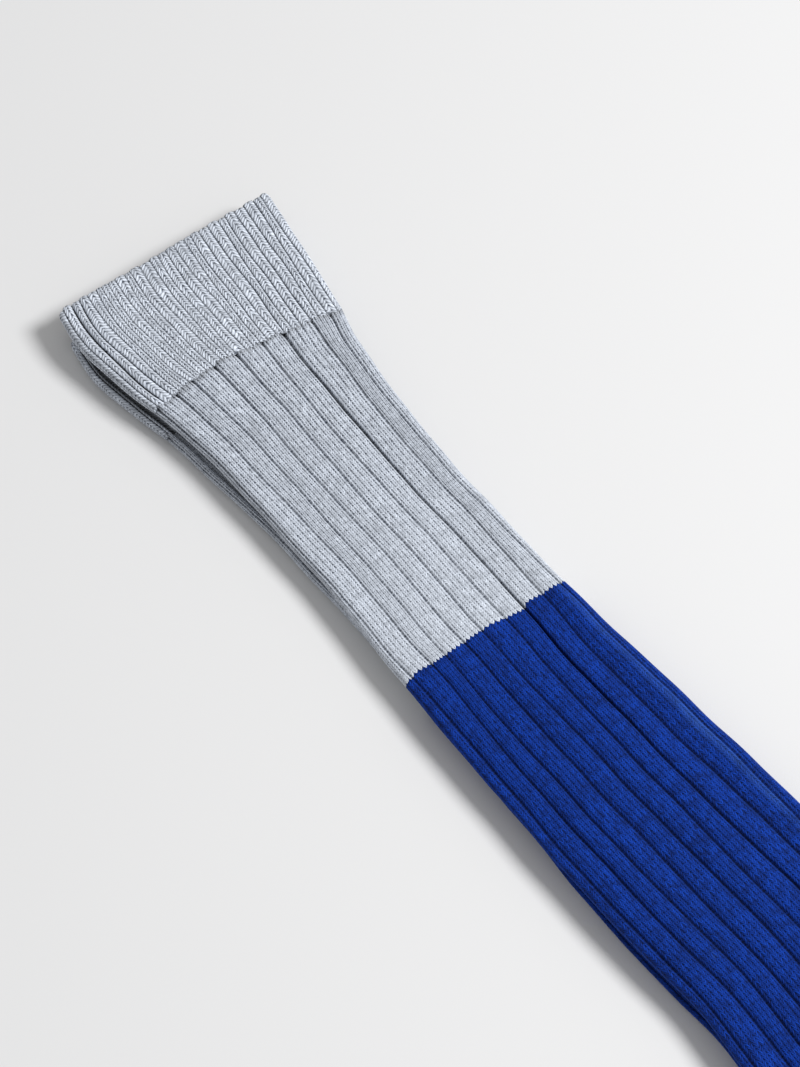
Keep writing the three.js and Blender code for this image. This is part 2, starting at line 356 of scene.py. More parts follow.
# %% The wide rib's columns
COURSE = 1.45
PLAIN = 4
FURROW_SHARE = 0.05
WALE = (1 - 2 * FURROW_SHARE) / PLAIN
rib_places = [0.0, FURROW_SHARE / 2] + [FURROW_SHARE + WALE * k / 4 for k in range(4 * PLAIN + 1)]
rib_places = np.array(rib_places + [1 - FURROW_SHARE / 2])
DEEP_RIB = 2
DEEP_WIDE = 0.095
DEEP_FURROW = {
    "along": [0, CUFF_END, 90, 125, 150, 190, 240, 300, ANKLE],
    "depth": [1, 1, 1.2, 1.5, 1.4, 1, 1.4, 0.9, 0.8],
}
FURROW = {
    "along": [0, CUFF_END, 90, 140, 190, 240, 300, ANKLE],
    "depth": [0.7, 0.7, 0.45, 0.35, 0.35, 0.45, 0.5, 0.5],
    "wide": [0.055, 0.055, 0.055, 0.055, 0.06, 0.1, 0.12, 0.12],
    "crown": [0.5, 0.5, 0.4, 0.35, 0.42, 0.8, 1.0, 1.0],
}


def leg_columns():
    """Rib, place across the rib and stitch count of every column of points."""
    rib = np.repeat(np.arange(LEG_RIBS), len(rib_places))
    place = np.tile(rib_places, LEG_RIBS)
    inside = (place >= FURROW_SHARE) & (place <= 1 - FURROW_SHARE)
    low = (place + FURROW_SHARE) / (2 * FURROW_SHARE) - 1
    high = PLAIN + (place - 1 + FURROW_SHARE) / (2 * FURROW_SHARE)
    stitch = np.where(inside, (place - FURROW_SHARE) / WALE, np.where(place < 0.5, low, high))
    return rib, place, rib * (PLAIN + 1) + stitch


leg_rib, leg_place, leg_count = leg_columns()
print("wide rib:", LEG_RIBS, "ribs,", len(leg_rib), "columns of points")

# %% [markdown]
# ## Furrows that stray
# On the real sock no two ribs are quite as wide, and the furrows drift as they run down. An even
# comb of furrows would look like corrugated card. STRAY places the furrows of the upper sock as
# they lie, in millimetres for each yarn. A slow and a quicker wave let the furrows of both socks
# drift. A rib's columns are spread between the furrow before it and the furrow after it, so
# neighbours always agree.

# %% Where each furrow lies
RIB_WIDE = 8.9
STRAY_FADE = (190, 245)
STRAY = {
    "rib": [-6, -5, -4, -3, -2, -1, 0, 1, 2, 3, 4, 5, 6],
    "pale": [0, 0.3, 0.5, 2.4, -0.3, 0.4, -0.2, 0.6, 1.4, 2.2, 1.5, 0.8, 0],
    "blue": [0, 1.5, 3.4, 4.2, 1.3, 1.1, 0.3, 0.0, 0.8, 0.5, 2.4, 1.2, 0],
}
SPACING_UNEVEN = 0.07
SLOW_DRIFT, SLOW_LENGTH = 0.045, 41
QUICK_DRIFT, QUICK_LENGTH = 0.02, 13


def furrow_off(rib, along, lower, seed):
    """How far the furrow before a rib lies from its even place, in ribs."""
    spacing = SPACING_UNEVEN * (np.sin(2.4 * rib + 0.5) + np.sin(1.1 * rib))
    slow = SLOW_DRIFT * np.sin(along / SLOW_LENGTH + 1.9 * rib + seed)
    quick = QUICK_DRIFT * np.sin(along / QUICK_LENGTH + 2.7 * rib + 2 * seed)
    if lower:
        return spacing + slow + quick
    around = np.mod(rib + LEG_RIBS / 2, LEG_RIBS) - LEG_RIBS / 2
    above = np.interp(around, STRAY["rib"], STRAY["pale"])
    below = np.interp(around, STRAY["rib"], STRAY["blue"])
    return spacing + slow + quick + (above + (below - above) * smoothstep(*STRAY_FADE, along)) / RIB_WIDE


def leg_shares(along, twist, lower, seed):
    """Where every column of points lies, as a share of the way round."""
    before = furrow_off(leg_rib, along, lower, seed)
    after = furrow_off(np.mod(leg_rib + 1, LEG_RIBS), along, lower, seed)
    off = before * (1 - leg_place) + after * leg_place
    return (leg_rib + leg_place + off + twist) / LEG_RIBS


print("furrows stray up to, mm:", max(STRAY["pale"] + STRAY["blue"]))

# %% [markdown]
# ## How deep the wide rib is
# Three things add up: the furrow itself, the shoulders that round down to it, and a small groove
# in the middle of each stitch column. Each furrow starts at the cuff with a dark pit, where the
# purl column is drawn in hardest. Furrow 4 is stretched nearly flat in the blue.

# %% Relief of the wide rib
DEPTH_VARIES = 0.18
PIT_DEPTH, PIT_VARIES, PIT_WIDER = 0.9, 0.4, 0.9
PIT_FADE = (0.3, 3.2)
SHOULDER_SHAPE, SHOULDER_MOST = 2.2, 1.2
FLAT_FURROW, FLAT_SHARE, FLAT_FADE = 4, 0.8, 15
WALE_GROOVE, WALE_EDGE, GROOVE_BLUR = 0.16, 0.07, 0.13


def furrow_relief(nearest, off, along, seed):
    """Depth of the nearest furrow and of the shoulders beside it."""
    is_deep = nearest == DEEP_RIB
    depth = np.where(is_deep, curve(DEEP_FURROW, "depth", along), curve(FURROW, "depth", along))
    depth = depth * (1 + DEPTH_VARIES * np.sin(along / 23 + 2.1 * nearest + seed))
    starting = 1 - smoothstep(*PIT_FADE, along - CUFF_END)
    depth = depth + (PIT_DEPTH + PIT_VARIES * np.sin(5.1 * nearest + seed)) * starting
    wide = np.where(is_deep, DEEP_WIDE, curve(FURROW, "wide", along)) * (1 + PIT_WIDER * starting)
    furrow = depth * (1 - smoothstep(0.0, wide, off))
    shoulder = curve(FURROW, "crown", along) * (1 - 2 * off) ** SHOULDER_SHAPE
    flattened = FLAT_SHARE * smoothstep(PALE_END, PALE_END + FLAT_FADE, along)
    kept = 1 - np.where(nearest == FLAT_FURROW, flattened, 0)
    return furrow * kept + np.clip(shoulder * kept, 0, SHOULDER_MOST)


def leg_relief(along, seed):
    """Depth below the crest, in millimetres, for every station and column."""
    off = np.minimum(leg_place, 1 - leg_place)[None, :]
    nearest = np.mod(np.round(leg_rib + leg_place), LEG_RIBS)[None, :]
    stitch = np.mod((leg_place - FURROW_SHARE) / WALE, 1)[None, :]
    on_rib = (off >= FURROW_SHARE - 1e-6).astype(float)
    middle = WALE_GROOVE * np.exp(-(((stitch - 0.5) / GROOVE_BLUR) ** 2))
    edge = WALE_EDGE * np.exp(-((np.minimum(stitch, 1 - stitch) / GROOVE_BLUR) ** 2))
    return furrow_relief(nearest, off, along[:, None], seed) + on_rib * (middle + edge)


depths = leg_relief(np.linspace(CUFF_END, ANKLE, 50), 0.0)
print(f"wide rib relief: {depths.min():.2f} to {depths.max():.2f} mm")

# %% [markdown]
# ## Soft unevenness
# Cloth laid by hand is never level. These are the places where the upper sock lies high or low:
# a trough beside the deep furrow, a fullness at the left below the cuff where the leg draws in,
# and a long soft hollow and ridge down the blue part. Each is a patch with its own place, length,
# width and height, leaning a little across the leg.

# %% Hollows and ridges of the upper sock
CREASES = [
    {"along": 130, "side": 17, "length": 80, "width": 7, "height": -0.5, "lean": 0.0},
    {"along": 150, "side": 30, "length": 80, "width": 6, "height": 0.5, "lean": 0.02},
    {"along": 84, "side": -24, "length": 22, "width": 7, "height": 0.5, "lean": 0.12},
    {"along": 74, "side": 24, "length": 16, "width": 5, "height": -0.4, "lean": -0.10},
    {"along": 190, "side": 3, "length": 45, "width": 11, "height": 0.35, "lean": -0.05},
    {"along": 262, "side": -14, "length": 38, "width": 9, "height": -0.4, "lean": 0.08},
    {"along": 310, "side": 28, "length": 90, "width": 5.5, "height": -1.1, "lean": 0.05},
    {"along": 300, "side": 36.5, "length": 95, "width": 3.6, "height": 1.4, "lean": 0.061},
    {"along": 320, "side": 2, "length": 60, "width": 9, "height": 0.5, "lean": 0.02},
    {"along": 25, "side": 16, "length": 24, "width": 10, "height": 0.45, "lean": -0.15},
    {"along": 34, "side": -22, "length": 20, "width": 9, "height": -0.35, "lean": 0.15},
]
LONG_SWELL, CROSS_SWELL = 0.22, 0.16


def ripple_upper(along, side, normal):
    """Height of the hollows and ridges, none at the folds and underneath."""
    lift = LONG_SWELL * np.sin(along / 19 + 0.11 * side) + CROSS_SWELL * np.sin(side / 7 + along / 55)
    for c in CREASES:
        down = along - c["along"]
        off = side - c["side"] - c["lean"] * down
        lift = lift + c["height"] * np.exp(-((down / c["length"]) ** 2) - (off / c["width"]) ** 2)
    return lift * np.clip(np.cos(normal), 0, 1)


print(len(CREASES), "hollows and ridges")

# %% [markdown]
# ## Rows that bow
# Where the cuff meets the leg, and where the yarn changes, the rows of stitches don't run
# straight across. The cuff pulls some of them down the leg by several millimetres near the
# right fold. Both pieces at a join are shifted by the same amount, so they still meet.

# %% How far rows stray down the leg
JOIN = {
    "share": [-0.5, -0.28, -0.206, -0.12, -0.066, 0, 0.05, 0.1, 0.16, 0.215, 0.29, 0.5],
    "cuff": [0, 1.5, 1.2, -1.1, -1.9, -0.9, 0.7, 1.5, 3.2, 6.0, 4.0, 0],
}
YARN_CHANGE = {
    "share": [-0.5, -0.24, -0.2, -0.15, -0.06, 0.015, 0.06, 0.105, 0.125, 0.185, 0.22, 0.5],
    "leg": [0, -0.6, -2.2, -1.4, -1.6, -1.7, -0.4, 0.6, -1.3, -0.3, 0, 0],
}
JOIN_WAVES = ((0.45, 9, 0.8), (0.4, 23, 0), (0.3, 41, 2.0))
WAVES_FADE, JOIN_FADE, CHANGE_FADE = 7, 30, 14


def row_bow(share, along, lower):
    """How far the rows of stitches stray down the leg from straight, in metres."""
    around = np.mod(share + 0.5, 1) - 0.5
    turn = 2 * math.pi * share
    uneven_rows = sum(high * np.sin(times * turn + start) for high, times, start in JOIN_WAVES)
    down = uneven_rows * (1 - smoothstep(0, WAVES_FADE, np.abs(along - CUFF_END)))
    if not lower:
        at_cuff = 1 - smoothstep(0, JOIN_FADE, np.abs(along - CUFF_END))
        at_change = 1 - smoothstep(0, CHANGE_FADE, np.abs(along - PALE_END))
        down = down + np.interp(around, JOIN["share"], JOIN["cuff"]) * at_cuff
        down = down + np.interp(around, YARN_CHANGE["share"], YARN_CHANGE["leg"]) * at_change
    return down / 1000


def laid_sheet(stations, share, sunk, lower):
    """A sheet of the cuff or leg with its ripples and its bowed rows."""
    sheet = tube(stations, share, sunk, lower, None if lower else ripple_upper)
    sheet[:, :, 0] += row_bow(share, stations["along"][:, None], lower)
    return sheet


print("rows bow up to, mm:", max(JOIN["cuff"]), "at the cuff")

# %% [markdown]
# ## The two parts of the leg
# When the yarn changes, the first blue stitches are pulled through the last pale ones. A stitch
# is a small V, so the line between the colours is a row of teeth: blue points up into the middle
# of each column and pale points down between columns. The pieces share that toothed edge.

# %% Leg pieces in two yarns
HALF_GAP = 0.03
STITCH_SLANT = 0.78
TOOTH_ROWS = np.array([0.8, 1.8])
TOOTH_FADE = 4.0
INNER_STEP = 4
ROW_SPACING = {"upper_sock": 2.9, "lower_sock": 4.0}


def leg_rows(start, end, spacing, toothed):
    """Stations down a leg piece, closer at its toothed edge."""
    along = np.linspace(start, end, int(round((end - start) / spacing)) + 1)
    if toothed == "end":
        return np.concatenate([along[:-1], end - TOOTH_ROWS[::-1], [end]])
    return np.concatenate([[start], start + TOOTH_ROWS, along[1:]])


def leg_piece(name, start, end, spacing, lower, seed, toothed):
    along = leg_rows(start, end, spacing, toothed)
    stations = leg_stations(along, lower)
    share = leg_shares(along[:, None], stations["twist"][:, None], lower, seed)
    sunk = leg_relief(along, seed)
    if lower:
        # The channel's depth is added to the depth that the material turns into painted shade.
        sunk = np.minimum(sunk + recess(stations, share, along), MOST_SUNK)
    outer = laid_sheet(stations, share, sunk, lower)
    tooth = 4 * np.abs(np.mod(leg_count, 1) - 0.5) - 1
    edge = start if toothed == "start" else end
    fade = 1 - smoothstep(0, TOOTH_FADE, np.abs(along - edge))[:, None]
    bite = 0.5 * STITCH_SLANT * COURSE * tooth[None, :] * fade
    outer[:, :, 0] += bite / 1000
    rows = int(round((end - start) / spacing)) + 1
    inner_stations = leg_stations(np.linspace(start, end, max(4, rows // 3)), lower)
    m = len(leg_rib) // INNER_STEP
    inner_share = np.arange(m) / m + inner_stations["twist"][:, None] / LEG_RIBS
    inner = laid_sheet(inner_stations, inner_share, np.full(inner_share.shape, WALL), lower)
    u = np.append(leg_count, leg_count[0] + LEG_RIBS * (PLAIN + 1))
    down = along[:, None] + bite
    v = np.concatenate([down, down[:, :1]], axis=1) / COURSE
    return wall_mesh(name, outer, inner, u, v, sunk)


pieces = {}
for who, lower, seed in (("upper_sock", False, 0.0), ("lower_sock", True, 2.3)):
    spacing = ROW_SPACING[who]
    pieces[f"{who}_leg_pale"] = leg_piece(
        f"{who}_pale_rib", CUFF_END + HALF_GAP, PALE_END - HALF_GAP, spacing, lower, seed, "end"
    )
    pieces[f"{who}_leg_blue"] = leg_piece(
        f"{who}_blue_rib", PALE_END + HALF_GAP, ANKLE - HALF_GAP, spacing, lower, seed, "start"
    )

# %% [markdown]
# ## The cuff's cords
# Single rib is one plain column and one purl column by turns. It draws in sideways, so the plain
# columns stand up as round cords with a furrow on each side. The cords are gathered toward one
# side of the sock, and the furrows aren't equally open, so CORD_STRAY says how far the cords lie
# from an even comb and CUFF_OPEN how deep the furrows are, going round.

# %% Cords and their furrows
CUFF_COURSE = 1.59
CUFF_PURL = 0.07
CORD_STRAY = {
    "cord": [-24, -14, -10, -8, -6, -4, -2, 0, 3, 6, 9, 13, 24],
    "off": [-0.8, 0.3, 0.35, 0.15, -0.36, -0.94, -1.27, -1.37, -1.54, -1.87, -1.93, -1.95, -0.8],
}
CUFF_OPEN = {
    "furrow": [0, 3, 5, 6, 9, 12, 20, 34, 36.5, 37, 38, 39, 40, 41, 44, 48],
    "depth": [0.45, 0.5, 0.75, 1.0, 1.1, 0.9, 0.9, 0.9, 0.9, 1.3, 1.9, 1.4, 0.75, 0.5, 0.4, 0.45],
}
cord_places = [0.0, 0.035, 0.07, 0.15, 0.26, 0.38, 0.46, 0.5, 0.54, 0.62, 0.74, 0.85, 0.93, 0.965]
cuff_cord = np.repeat(np.arange(CUFF_RIBS), len(cord_places))
cuff_place = np.tile(cord_places, CUFF_RIBS)


def cord_off(cord, along, seed):
    """How far the furrow before a cord lies from its even place, in cords."""
    around = np.mod(cord + CUFF_RIBS / 2, CUFF_RIBS) - CUFF_RIBS / 2
    gathered = np.interp(around, CORD_STRAY["cord"], CORD_STRAY["off"])
    slow = 0.1 * np.sin(1.7 * cord + along / 21 + seed)
    return gathered + slow + 0.06 * np.sin(3.1 * cord + along / 9 + seed)


def cuff_count():
    """Stitch count of every column of points, one plain and one purl to a cord."""
    inside = (cuff_place >= CUFF_PURL) & (cuff_place <= 1 - CUFF_PURL)
    plain = (cuff_place - CUFF_PURL) / (1 - 2 * CUFF_PURL)
    low = (cuff_place + CUFF_PURL) / (2 * CUFF_PURL) - 1
    high = 1 + (cuff_place - 1 + CUFF_PURL) / (2 * CUFF_PURL)
    return 2 * cuff_cord + np.where(inside, plain, np.where(cuff_place < 0.5, low, high))


print("single rib:", CUFF_RIBS, "cords,", len(cuff_cord), "columns of points")

# %% [markdown]
# ## How round the cords are
# A cord in an open furrow is rounder than one pressed against its neighbour, so the roundness
# follows the depth. The furrows grow shallow toward both ends of the cuff, and a fine groove runs
# down the middle of each cord, where the two arms of every V meet.

# %% Relief of the single rib
OPEN_VARIES = 0.35
SHALLOW_AT_ENDS = 0.45
LEG_END_FADE, OPEN_END_FADE = 6, 5
ROUND_LEAST, ROUND_MOST, ROUND_GAIN, ROUND_AT = 0.3, 0.52, 0.22, 0.8
CORD_GROOVE, CORD_GROOVE_BLUR = 0.3, 0.06


def cuff_relief(along, seed):
    """Depth below the crest of the cords, in millimetres."""
    off = np.minimum(cuff_place, 1 - cuff_place)[None, :]
    nearest = np.mod(np.round(cuff_cord + cuff_place), CUFF_RIBS)[None, :]
    along = along[:, None]
    vary = 0.5 * np.sin(3.7 * nearest + seed) + 0.5 * np.sin(along / 17 + 2.3 * nearest + seed)
    depth = np.interp(nearest, CUFF_OPEN["furrow"], CUFF_OPEN["depth"]) * (1 + OPEN_VARIES * vary)
    rest = 1 - SHALLOW_AT_ENDS
    at_leg = SHALLOW_AT_ENDS + rest * smoothstep(0, LEG_END_FADE, CUFF_END - along)
    at_opening = SHALLOW_AT_ENDS + rest * smoothstep(0, OPEN_END_FADE, along)
    depth = np.clip(depth, 0.3, 2.0) * at_leg * at_opening
    roundness = np.clip(ROUND_LEAST + ROUND_GAIN * (depth - ROUND_AT), ROUND_LEAST, ROUND_MOST)
    cord = depth * (1 - np.sin(math.pi * np.clip((off - 0.02) / 0.96, 0, 1)) ** roundness)
    middle = CORD_GROOVE * np.exp(-(((cuff_place[None, :] - 0.5) / CORD_GROOVE_BLUR) ** 2))
    return np.clip(cord + middle, 0, 1.8)


depths = cuff_relief(np.linspace(0, CUFF_END, 20), 0.7)
print(f"single rib relief: {depths.min():.2f} to {depths.max():.2f} mm")

# %% [markdown]
# ## The two cuffs
# The open end of a cuff is a line of small loops, one at the top of each cord, so the edge is
# scalloped and a little ragged instead of straight. The wall also thins there, because nothing
# holds the last row of loops open.

# %% Cuff pieces
THIN_AT_END, THIN_FADE = 0.75, 1.6
LOOP_HEIGHT, LOOP_FADE = 0.25, 3
RAGGED, RAGGED_FADE = 0.35, 6
INNER_TURN = -0.8


def cuff_piece(name, lower, seed):
    rows = np.arange(2.0, CUFF_END - 1.2, 1.3)
    along = np.concatenate([[0.0, 0.5, 1.1], rows, [CUFF_END - HALF_GAP]])
    stations = leg_stations(along, lower)
    before = cord_off(cuff_cord, along[:, None], seed)
    after = cord_off(np.mod(cuff_cord + 1, CUFF_RIBS), along[:, None], seed)
    drift = before * (1 - cuff_place) + after * cuff_place
    share = (cuff_cord + cuff_place + drift + stations["twist"][:, None]) / CUFF_RIBS
    # The channel's depth is added to the depth that the material turns into painted shade.
    sunk = cuff_relief(along, seed) + (recess(stations, share, along) if lower else 0)
    round_top = np.sin(math.pi * cuff_place)[None, :]
    thinner = THIN_AT_END * (1 - smoothstep(0, THIN_FADE, along)[:, None]) * (1 - 0.3 * round_top)
    outer = laid_sheet(stations, share, np.clip(sunk + thinner, 0, MOST_SUNK), lower)
    loop = LOOP_HEIGHT * round_top * (1 - smoothstep(0, LOOP_FADE, along))[:, None]
    ragged = RAGGED * np.sin(2.9 * cuff_cord + seed)[None, :]
    outer[:, :, 0] -= (loop + ragged * (1 - smoothstep(0, RAGGED_FADE, along))[:, None]) / 1000
    inner_stations = leg_stations(np.linspace(0.4, CUFF_END - HALF_GAP, 10), lower)
    m = 2 * CUFF_RIBS
    inner_share = np.arange(m) / m + (inner_stations["twist"][:, None] + INNER_TURN) / CUFF_RIBS
    inner = laid_sheet(inner_stations, inner_share, np.full(inner_share.shape, WALL), lower)
    count = cuff_count()
    u = np.append(count, count[0] + 2 * CUFF_RIBS)
    v = np.repeat(along[:, None] / CUFF_COURSE, len(u), axis=1)
    return wall_mesh(name, outer, inner, u, v, np.clip(sunk, 0, MOST_SUNK))


for who, lower, seed in (("upper_sock", False, 0.7), ("lower_sock", True, 3.1)):
    pieces[f"{who}_cuff"] = cuff_piece(f"{who}_rib_cuff", lower, seed)

# %% [markdown]
# ## The way down the foot
# The tube turns about a point at the front of the ankle, which makes the heel's pouch on the
# outside of the turn, runs straight along the foot, and closes in a round toe. Its stations say
# the same things as the leg's, so the same tube function makes it.

# %% The foot's stations
PIVOT_GAP = 8.0
TURN = math.radians(65)
HEEL_BULGE = 9.0
HEEL_RADIUS = 66.0
FOOT_WIDTH = 78.0
FOOT_LENGTH = 140.0
TOE_LENGTH = 42.0
TOE_THINNING = 0.2


def foot_path(turn_steps, straight_steps, toe_shares):
    """Turn, way onward, width left and thinning of the toe at every station."""
    toe = np.array(toe_shares)
    before_toe = turn_steps + 1 + straight_steps
    turn = np.concatenate([np.linspace(0, TURN, turn_steps + 1), np.full(straight_steps + len(toe), TURN)])
    straight = np.linspace(0, FOOT_LENGTH, straight_steps + 1)[1:]
    onward = np.concatenate([np.zeros(turn_steps + 1), straight, FOOT_LENGTH + TOE_LENGTH * toe])
    onward[0] = HALF_GAP
    share = np.concatenate([np.zeros(before_toe), toe])
    return turn, onward, np.sqrt(1 - share**2), TOE_THINNING * share**2


def foot_stations(turn, onward, narrowing, thinning, lower):
    ankle = {key: value[0] for key, value in leg_stations([ANKLE], lower).items()}
    leg_width = ankle["right"] - ankle["left"]
    swell = HEEL_BULGE * np.sin(math.pi * turn / TURN)
    width = leg_width + (FOOT_WIDTH - leg_width) * turn / TURN + swell
    trim = width * (1 - narrowing) / 2
    pivot_y = ankle["y"] + ankle["right"] + PIVOT_GAP
    return {
        "x": ankle["x"] + onward * np.cos(turn),
        "y": pivot_y + onward * np.sin(turn),
        "angle": turn,
        "left": -PIVOT_GAP - width + trim,
        "right": -PIVOT_GAP - trim,
        "arch": ankle["arch"] * (1 - turn / TURN),
        "twist": np.full(len(turn), ankle["twist"]),
        "thinning": thinning,
    }


print("way down the foot, mm:", round(HEEL_RADIUS * TURN + FOOT_LENGTH + TOE_LENGTH, 1))

# %% [markdown]
# ## Heel, foot and toe
# Below the ankle the ribs stop and the knit is plain. Its columns of points carry on from the
# leg's, with the furrows fading out over the first stretch, so the two pieces meet without a
# step. The last ring is small enough to be closed by one flat face, outside and inside.

# %% Foot pieces
TOE_RINGS = (0.1, 0.2, 0.3, 0.4, 0.5, 0.6, 0.68, 0.75, 0.81, 0.86, 0.9, 0.935, 0.96, 0.97)
INNER_TOE_RINGS = (0.3, 0.55, 0.72, 0.82, 0.9)
RIB_FADE = (2, 18)
LEAST_SUNK = 0.02


def foot_piece(name, lower, seed):
    turn, onward, narrowing, thinning = foot_path(22, 36, TOE_RINGS)
    stations = foot_stations(turn, onward, narrowing, thinning, lower)
    share = leg_shares(ANKLE, stations["twist"][:, None], lower, seed)
    down = HEEL_RADIUS * turn + onward
    fading = 1 - smoothstep(*RIB_FADE, down)[:, None]
    sunk = np.maximum(leg_relief(np.full(len(turn), ANKLE), seed) * fading, LEAST_SUNK)
    outer = tube(stations, share, sunk, lower)
    inner_stations = foot_stations(*foot_path(8, 6, INNER_TOE_RINGS), lower)
    m = len(leg_rib) // INNER_STEP
    inner_share = np.arange(m) / m + inner_stations["twist"][:, None] / LEG_RIBS
    inner = tube(inner_stations, inner_share, np.full(inner_share.shape, WALL), lower)
    u = np.append(leg_count, leg_count[0] + LEG_RIBS * (PLAIN + 1))
    v = np.repeat(((ANKLE + down) / COURSE)[:, None], len(u), axis=1)
    return wall_mesh(name, outer, inner, u, v, sunk, closed_toe=True)


for who, lower, seed in (("upper_sock", False, 0.0), ("lower_sock", True, 2.3)):
    pieces[f"{who}_foot"] = foot_piece(f"{who}_plain_foot", lower, seed)

# %% [markdown]
# ## Shader maths as expressions
# A stitch is drawn by arithmetic on its UVs. Written out as nodes that is long, so a small class
# wraps a socket: adding, multiplying or comparing two of them adds the Math node and returns the
# result. Any other node comes from one method.


# %% Sockets that can be added and multiplied
class Strand:
    """One socket of a material, with Python's operators."""

    def __init__(self, recipe, socket):
        self.recipe = recipe
        self.socket = socket

    def maths(self, operation, *others):
        return self.recipe.node("ShaderNodeMath", {"operation": operation}, [self, *others])

    def __add__(self, other):
        return self.maths("ADD", other)

    def __sub__(self, other):
        return self.maths("SUBTRACT", other)

    def __mul__(self, other):
        return self.maths("MULTIPLY", other)

    def __truediv__(self, other):
        return self.maths("DIVIDE", other)

    def __pow__(self, other):
        return self.maths("POWER", other)

    def __mod__(self, other):
        return self.maths("FLOORED_MODULO", other)

    def __gt__(self, other):
        return self.maths("GREATER_THAN", other)

    def __rsub__(self, other):
        return self.recipe.node("ShaderNodeMath", {"operation": "SUBTRACT"}, [other, self])

    __radd__ = __add__
    __rmul__ = __mul__


class Recipe:
    """One material's nodes."""

    def __init__(self, name):
        self.material = bpy.data.materials.new(name)
        self.material.use_nodes = True
        self.tree = self.material.node_tree
        self.tree.nodes.clear()

    def node(self, kind, settings, inputs, output=0):
        made = self.tree.nodes.new(kind)
        for key, value in settings.items():
            setattr(made, key, value)
        named = inputs.items() if isinstance(inputs, dict) else enumerate(inputs)
        for key, value in named:
            if isinstance(value, Strand):
                self.tree.links.new(value.socket, made.inputs[key])
            else:
                made.inputs[key].default_value = value
        return Strand(self, made.outputs[output])

    def noise(self, where, scale, detail):
        named = {"Vector": where, "Scale": scale, "Detail": detail}
        return self.node("ShaderNodeTexNoise", {}, named)

    def ramp(self, value, low, high, to_low, to_high, smooth=False):
        settings = {"interpolation_type": "SMOOTHSTEP"} if smooth else {}
        return self.node("ShaderNodeMapRange", settings, [value, low, high, to_low, to_high])

    def colour_mix(self, amount, first, second, blend="MIX"):
        settings = {"data_type": "RGBA", "blend_type": blend}
        return self.node("ShaderNodeMix", settings, {0: amount, 6: first, 7: second}, 2)

    def finish(self, shader):
        end = self.tree.nodes.new("ShaderNodeOutputMaterial")
        self.tree.links.new(shader.socket, end.inputs["Surface"])
        print(f"{self.material.name}: {len(self.tree.nodes)} nodes")
        return self.material


def linear(rgb):
    """Linear colour from ordinary 0 to 255 values."""
    out = []
    for value in rgb:
        c = value / 255
        out.append(c / 12.92 if c <= 0.04045 else ((c + 0.055) / 1.055) ** 2.4)
    return (*out, 1.0)


# %% [markdown]
# ## Where a point is in its stitch
# The material works in stitches. Across a column it needs the distance from the middle, and down
# a column it needs the row, shifted by the slant of the V's two arms. Hand-laid knit is looser
# here and tighter there, so two slow noises first push the UVs about by a part of a stitch.


# %% Column, row and shade of each stitch
def stitch_places(r, yarn):
    """The values that the rest of the material is worked out from."""
    where = r.node("ShaderNodeTexCoord", {}, [], 3)
    uv = r.node("ShaderNodeUVMap", {"uv_map": "stitches"}, [])
    across, downward = yarn["loose"]
    u = r.node("ShaderNodeSeparateXYZ", {}, [uv], 0) + (r.noise(where, 170.0, 1.0) - 0.5) * across
    v = r.node("ShaderNodeSeparateXYZ", {}, [uv], 1) + (r.noise(where, 150.0, 2.0) - 0.5) * downward
    off = ((u % 1.0) - 0.5).maths("ABSOLUTE") * 2.0
    row = v - off * yarn["slant"]
    cell = r.node("ShaderNodeCombineXYZ", {}, [u.maths("FLOOR"), row.maths("FLOOR"), 0.0])
    own = r.node("ShaderNodeTexWhiteNoise", {"noise_dimensions": "3D"}, {"Vector": cell})
    return {
        "where": where,
        "u": u,
        "v": v,
        "off": off,
        "row": row,
        "own": own,
        "middle": (1.0 - off) ** 2.6,
        "wave": (row * (2 * math.pi)).maths("COSINE") * -0.5 + 0.5,
        "purl": (u % float(yarn["period"])) > (yarn["period"] - 1.0),
    }


# %% [markdown]
# ## The height of a stitch
# Where two arms meet in the middle there is a small dark hole, at the edges of a column a fainter
# line, and between rows a thin gap. If every hole were as dark as the next, the knit would look
# printed. So each stitch has its own size of hole, and each line of holes opens and closes slowly
# down its length. The purl column shows its rungs instead.

# %% Holes, lines and rungs
MIDDLE_LINE = 0.45
EDGE_LINE = 0.35
PURL_OPEN = 0.35
RUNG_DEPTH = 0.5


def openness(r, column, v, stretch, key):
    """How open one line of holes is, changing slowly down its length."""
    path = r.node("ShaderNodeCombineXYZ", {}, [column.maths("FLOOR") * 3.7, v * stretch, key])
    return r.ramp(r.noise(path, 1.0, 2.0), 0.32, 0.68, 0.0, 1.0)


def stitch_height(r, yarn, at):
    """Height from about 1 on the yarn to 0 or less in the holes."""
    u, v, own = at["u"], at["v"], at["own"]
    gap = (1.0 - at["wave"]) ** 1.8
    hole = gap * yarn["beads"] * (own * 1.3 + 0.35)
    # The strength of the painted-shade lines changes with the row number.
    clear = r.ramp(v, *yarn["line_strength_by_row"])
    middle = at["middle"] * (openness(r, u, v, 0.7, 2.0) * (hole + 0.45) + hole * 0.4 + MIDDLE_LINE)
    edge = at["off"] ** 3.6 * (openness(r, u + 0.5, v, 0.6, 9.0) * (hole * 0.5 + 0.55) + EDGE_LINE)
    height = 1.0 - middle * (clear * yarn["middle_line"]) - edge * (clear * yarn["edge_line"])
    rung = (v * (2 * math.pi)).maths("COSINE") * 0.5 + 0.5
    in_purl = openness(r, u, v, 0.8, 17.0) * PURL_OPEN + rung * own * RUNG_DEPTH
    return height - gap * yarn["row_gap"] - at["purl"] * in_purl


print("shallowest lines:", MIDDLE_LINE, "in the middle of a column,", EDGE_LINE, "at its edge")
